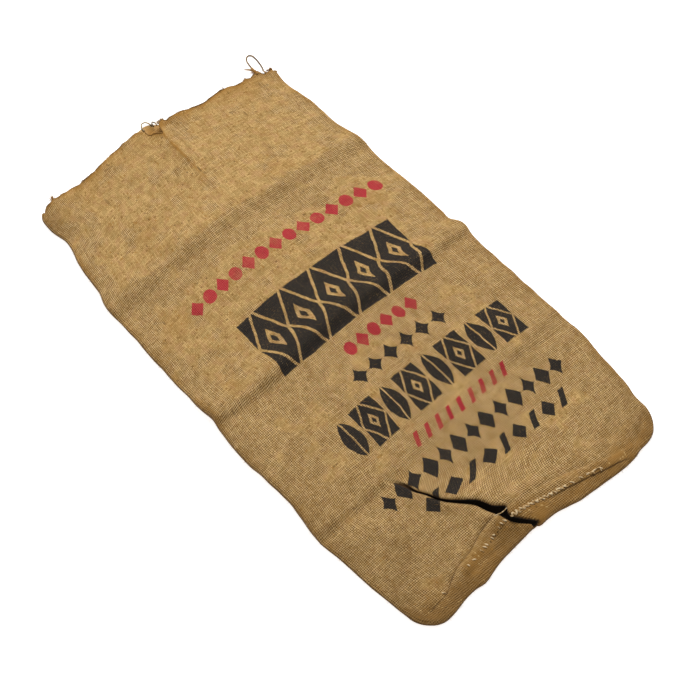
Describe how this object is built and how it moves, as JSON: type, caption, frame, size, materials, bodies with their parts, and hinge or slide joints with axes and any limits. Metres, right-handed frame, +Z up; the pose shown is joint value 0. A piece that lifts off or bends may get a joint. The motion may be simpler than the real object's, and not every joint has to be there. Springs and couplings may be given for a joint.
{
  "type": "hessian sack",
  "caption": "Empty hessian sack lying flat with its mouth open: a folded and sewn jute bag with storage creases, a pleat near its bottom seam and a loose yarn at the mouth.",
  "frame": {"origin": "on the surface that the sack lies on, under the middle of the flat sack", "axes": "+Y along the sack towards its mouth, +X across it, +Z up out of the printed front layer"},
  "size_m": [0.5613, 1.0606, 0.0236],
  "materials": {
    "hessian": "plain-woven jute hessian, matt, with slubs, dark flecks and a two-colour stencil-type print",
    "yarn": "single-ply jute yarn, hairy and matt"
  },
  "bodies": {
    "root": {"sack_cloth": "hessian", "mouth_yarn": "yarn"}
  },
  "joints": []
}
